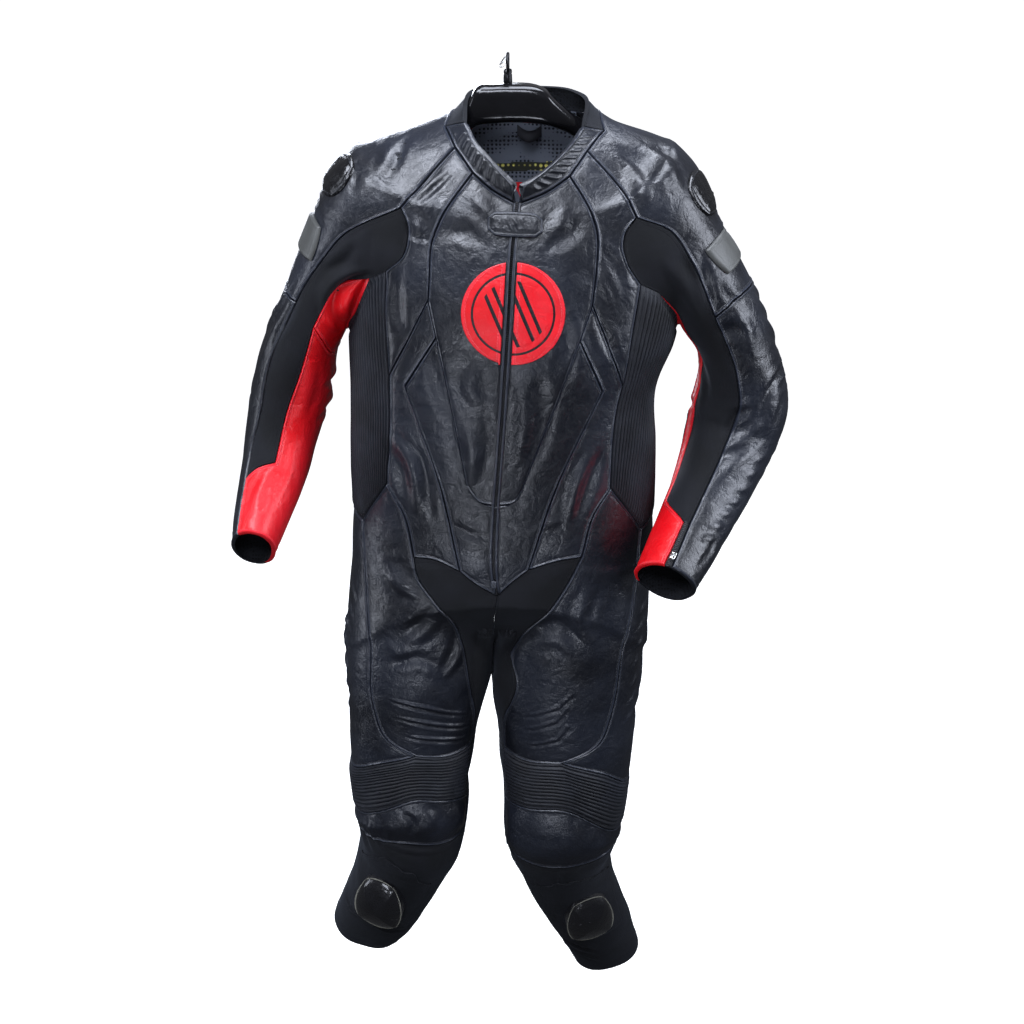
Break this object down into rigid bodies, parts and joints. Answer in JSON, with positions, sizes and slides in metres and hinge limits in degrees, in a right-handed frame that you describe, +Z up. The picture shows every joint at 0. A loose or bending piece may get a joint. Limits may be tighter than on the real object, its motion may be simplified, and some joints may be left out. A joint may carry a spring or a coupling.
{
  "type": "motorcycle race suit on a hanger",
  "caption": "One-piece leather motorcycle race suit, zipped and filled out, with stretch and ribbed panels, red inner sleeves and knee sliders, on a black plastic hanger.",
  "frame": {"origin": "inner crown of the hanger's hook, where the rail bears", "axes": "+Z up, the front of the suit towards -Y, the wearer's left towards +X"},
  "size_m": [0.7748, 0.406, 1.5598],
  "materials": {
    "black leather": "satin grained",
    "red leather": "satin grained",
    "black stretch fabric": "matt knitted",
    "black zip tape": "woven",
    "black plastic": "glossy",
    "grey plastic": "matt",
    "bright steel": "polished",
    "dark mesh lining": "open mesh",
    "black woven loop": "woven"
  },
  "bodies": {
    "suit": {"arm_plate_left": "grey plastic", "arm_plate_right": "grey plastic", "back": "black leather", "belly_left": "black leather", "belly_right": "black leather", "calf_left": "black stretch fabric", "calf_right": "black stretch fabric", "chest_left": "black leather", "chest_patch_left": "red leather", "chest_patch_right": "red leather", "chest_right": "black leather", "closure_tab": "black leather", "collar_back": "black stretch fabric", "collar_left": "black leather", "collar_right": "black leather", "crotch_stretch_left": "black stretch fabric", "crotch_stretch_right": "black stretch fabric", "cuff_gusset_left": "black zip tape", "cuff_slider_left": "bright steel", "flank_left": "black leather", "flank_right": "black leather", "forearm_left": "black leather", "forearm_right": "black leather", "front_left": "black leather", "front_right": "black leather", "front_zip": "black zip tape", "hang_loop": "black woven loop", "hanger": "black plastic", "hook": "bright steel", "inner_sleeve_left": "red leather", "inner_sleeve_right": "red leather", "knee_cup_left": "black leather", "knee_cup_right": "black leather", "knee_ribs_left": "black stretch fabric", "knee_ribs_right": "black stretch fabric", "neck_lining": "dark mesh lining", "puck_base_left": "black stretch fabric", "puck_base_right": "black stretch fabric", "puck_left": "black plastic", "puck_right": "black plastic", "seat_left": "black leather", "seat_right": "black leather", "shin_left": "black stretch fabric", "shin_right": "black stretch fabric", "shoulder_cap_left": "black leather", "shoulder_cap_right": "black leather", "shoulder_left": "black leather", "shoulder_right": "black leather", "side_ribs_left": "black stretch fabric", "side_ribs_right": "black stretch fabric", "sleeve_stretch_left": "black stretch fabric", "sleeve_stretch_right": "black stretch fabric", "thigh_front_left": "black leather", "thigh_front_right": "black leather", "thigh_side_left": "black leather", "thigh_side_right": "black leather", "underarm_left": "red leather", "underarm_right": "red leather", "zip_stop": "bright steel"},
    "pull_tab": {"cuff_pull_left": "bright steel"}
  },
  "joints": [
    {"name": "pull_tab_hinge", "type": "hinge", "parent": "suit", "child": "pull_tab", "pos_m": [0.22052, -0.1728, -0.62952], "axis": [-0.9007, 0.3713, 0.2258], "range_deg": [0, 150]}
  ]
}
